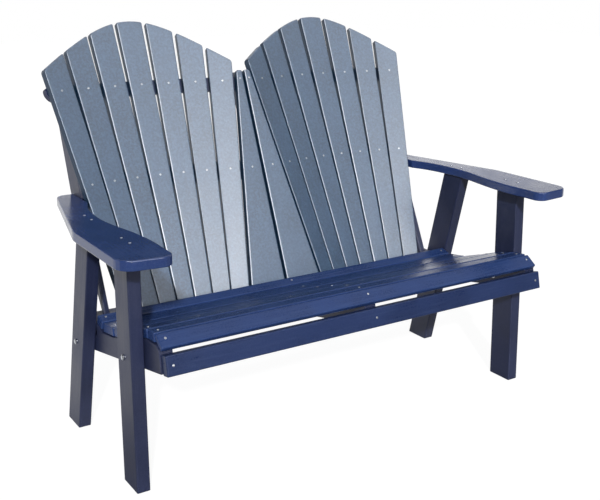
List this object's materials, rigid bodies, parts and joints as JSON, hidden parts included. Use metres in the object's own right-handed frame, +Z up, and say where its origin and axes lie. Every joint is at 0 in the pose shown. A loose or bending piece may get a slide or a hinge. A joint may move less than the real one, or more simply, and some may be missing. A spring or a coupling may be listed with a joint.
{
  "type": "adirondack loveseat",
  "caption": "Outdoor adirondack loveseat with paired fan-shaped slatted backs, a dished slatted seat, flat arms with curved inner edges and flat board legs.",
  "frame": {"origin": "middle of the bench's footprint box, on the floor", "axes": "+X to the sitter's left along the bench (the picture's right), -Y out of the front, +Z up"},
  "size_m": [1.52, 0.9118, 1.1838],
  "materials": {
    "back_lumber": "fine-grained satin",
    "seat_lumber": "satin",
    "arm_lumber": "satin",
    "frame_lumber": "matte",
    "stainless": "satin"
  },
  "bodies": {
    "root": {"apron": "seat_lumber", "arm_left": "arm_lumber", "arm_right": "arm_lumber", "back_post_centre": "frame_lumber", "back_post_left": "frame_lumber", "back_post_right": "frame_lumber", "back_slat_left_1": "back_lumber", "back_slat_left_2": "back_lumber", "back_slat_left_3": "back_lumber", "back_slat_left_4": "back_lumber", "back_slat_left_5": "back_lumber", "back_slat_left_6": "back_lumber", "back_slat_left_7": "back_lumber", "back_slat_right_1": "back_lumber", "back_slat_right_2": "back_lumber", "back_slat_right_3": "back_lumber", "back_slat_right_4": "back_lumber", "back_slat_right_5": "back_lumber", "back_slat_right_6": "back_lumber", "back_slat_right_7": "back_lumber", "filler_slat_left": "back_lumber", "filler_slat_right": "back_lumber", "front_edge_slat": "seat_lumber", "front_leg_bolt_left": "stainless", "front_leg_bolt_right": "stainless", "front_leg_left": "frame_lumber", "front_leg_nut_left": "stainless", "front_leg_nut_right": "stainless", "front_leg_right": "frame_lumber", "front_leg_washer_left": "stainless", "front_leg_washer_right": "stainless", "lower_back_rail": "frame_lumber", "middle_back_rail_left": "frame_lumber", "middle_back_rail_right": "frame_lumber", "rear_leg_bolt_left": "stainless", "rear_leg_bolt_right": "stainless", "rear_leg_left": "frame_lumber", "rear_leg_nut_left": "stainless", "rear_leg_nut_right": "stainless", "rear_leg_right": "frame_lumber", "rear_leg_washer_left": "stainless", "rear_leg_washer_right": "stainless", "seat_rail_centre": "frame_lumber", "seat_rail_left": "frame_lumber", "seat_rail_right": "frame_lumber", "seat_slat_1": "seat_lumber", "seat_slat_2": "seat_lumber", "seat_slat_3": "seat_lumber", "seat_slat_4": "seat_lumber", "seat_slat_5": "seat_lumber", "seat_slat_6": "seat_lumber", "upper_back_rail_left": "frame_lumber", "upper_back_rail_right": "frame_lumber"}
  },
  "joints": []
}
